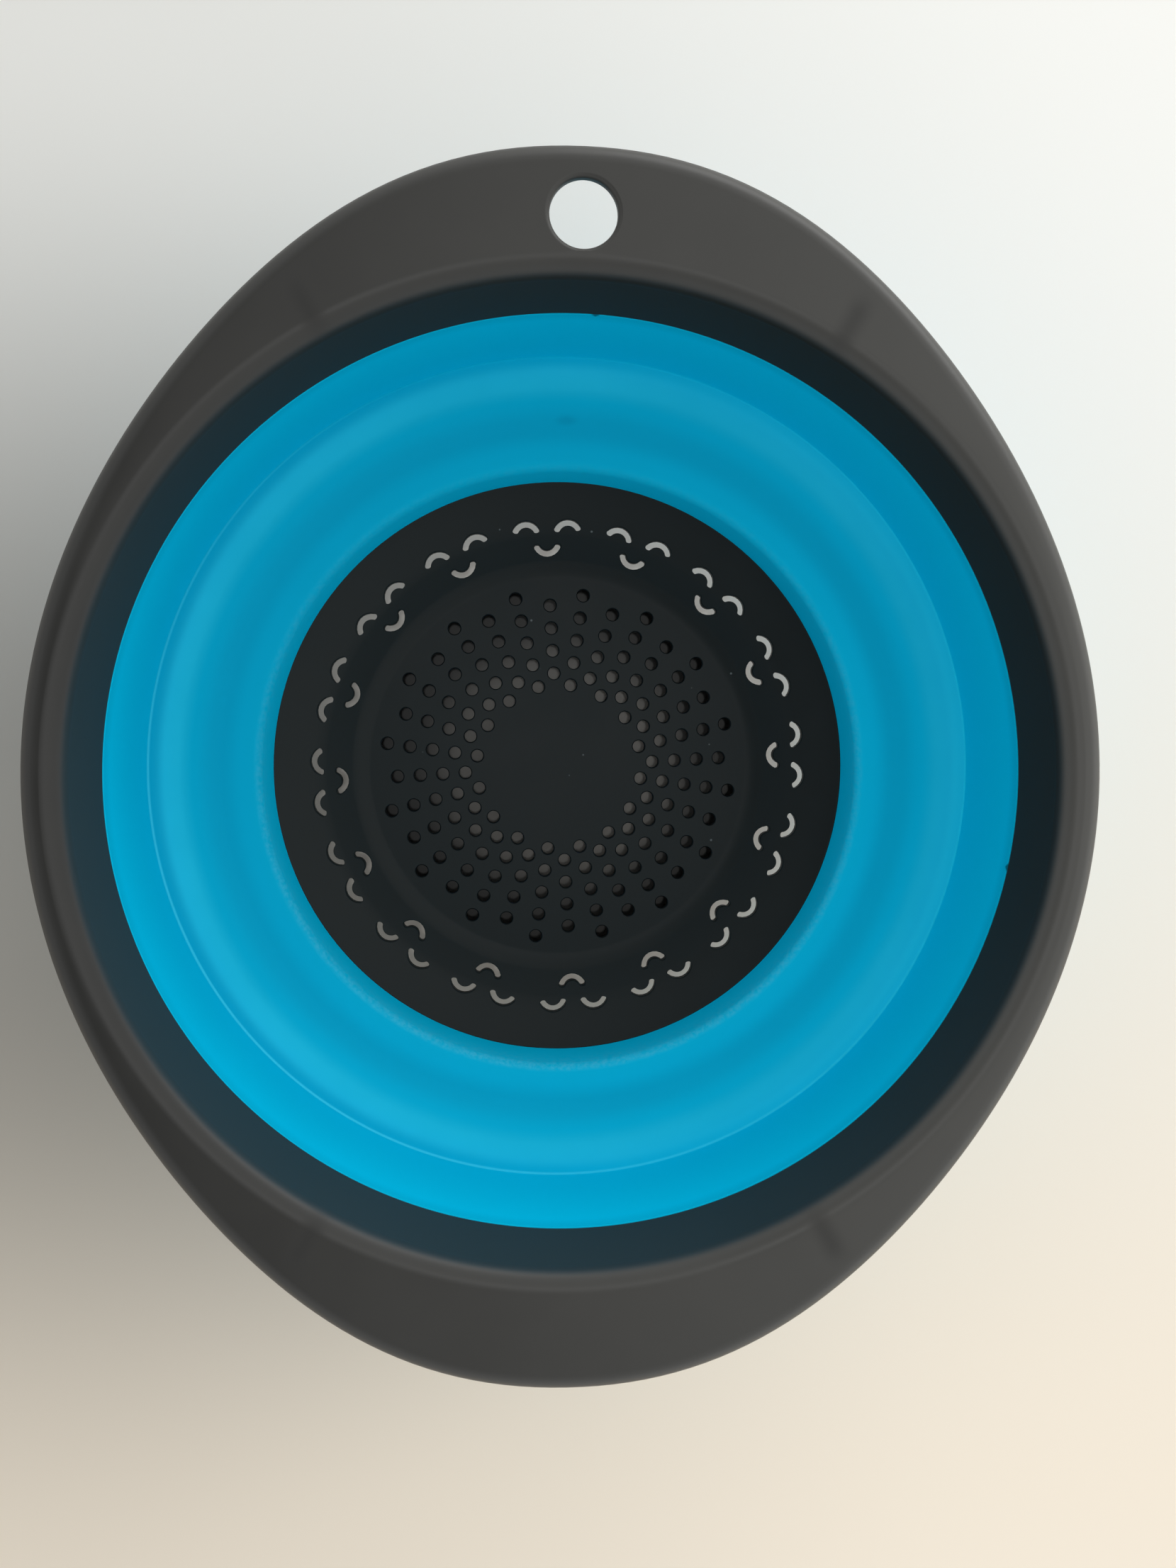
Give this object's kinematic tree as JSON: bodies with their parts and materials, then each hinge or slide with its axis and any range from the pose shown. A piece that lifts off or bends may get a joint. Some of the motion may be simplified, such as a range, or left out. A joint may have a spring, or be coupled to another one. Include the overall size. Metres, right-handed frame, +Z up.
{
  "type": "collapsible colander",
  "caption": "Collapsible colander: hard oval rim with end handles and a hanging hole, a soft wall that folds inside out, and a perforated dish base on a notched foot ring.",
  "frame": {"origin": "on the table, under the middle of the bowl", "axes": "+Z up out of the bowl, +Y towards the handle with the hanging hole, +X to the right of it seen from above"},
  "size_m": [0.245, 0.282, 0.098],
  "materials": {
    "rim_plastic": "moulded polypropylene, satin",
    "base_plastic": "moulded polypropylene, satin",
    "soft_wall": "thermoplastic elastomer, matt"
  },
  "bodies": {
    "base": {"base_dish": "base_plastic", "lower_wall_cuff": "soft_wall"},
    "rim": {"rim_frame": "rim_plastic", "upper_wall_ring": "soft_wall"},
    "hoop_1": {"fold_hoop_1": "soft_wall"},
    "hoop_2": {"fold_hoop_2": "soft_wall"},
    "hoop_3": {"fold_hoop_3": "soft_wall"},
    "hoop_4": {"fold_hoop_4": "soft_wall"},
    "hoop_5": {"fold_hoop_5": "soft_wall"},
    "hoop_6": {"fold_hoop_6": "soft_wall"},
    "hoop_7": {"fold_hoop_7": "soft_wall"},
    "hoop_8": {"fold_hoop_8": "soft_wall"}
  },
  "joints": [
    {"name": "collapse", "type": "slide", "parent": "base", "child": "rim", "axis": [0, 0, -1], "range_m": [0, 0.028]},
    {"name": "fold_1", "type": "slide", "parent": "base", "child": "hoop_1", "axis": [0, 0, -1], "range_m": [0, 0.028]},
    {"name": "fold_2", "type": "slide", "parent": "base", "child": "hoop_2", "axis": [0, 0, -1], "range_m": [0, 0.027]},
    {"name": "fold_3", "type": "slide", "parent": "base", "child": "hoop_3", "axis": [0, 0, -1], "range_m": [0, 0.0218]},
    {"name": "fold_4", "type": "slide", "parent": "base", "child": "hoop_4", "axis": [0, 0, -1], "range_m": [0, 0.0123]},
    {"name": "fold_5", "type": "slide", "parent": "base", "child": "hoop_5", "axis": [0, 0, -1], "range_m": [0, 0.005]},
    {"name": "fold_6", "type": "slide", "parent": "base", "child": "hoop_6", "axis": [0, 0, -1], "range_m": [0, 0.0018]},
    {"name": "fold_7", "type": "slide", "parent": "base", "child": "hoop_7", "axis": [0, 0, -1], "range_m": [0, 0.0008]},
    {"name": "fold_8", "type": "slide", "parent": "base", "child": "hoop_8", "axis": [0, 0, -1], "range_m": [0, 0.0003]}
  ],
  "couplings": [
    {"joint": "fold_1", "follows": "collapse", "ratio": 0.9983},
    {"joint": "fold_2", "follows": "collapse", "ratio": 0.962},
    {"joint": "fold_3", "follows": "collapse", "ratio": 0.7766},
    {"joint": "fold_4", "follows": "collapse", "ratio": 0.4367},
    {"joint": "fold_5", "follows": "collapse", "ratio": 0.1775},
    {"joint": "fold_6", "follows": "collapse", "ratio": 0.0627},
    {"joint": "fold_7", "follows": "collapse", "ratio": 0.0258},
    {"joint": "fold_8", "follows": "collapse", "ratio": 0.0094}
  ]
}
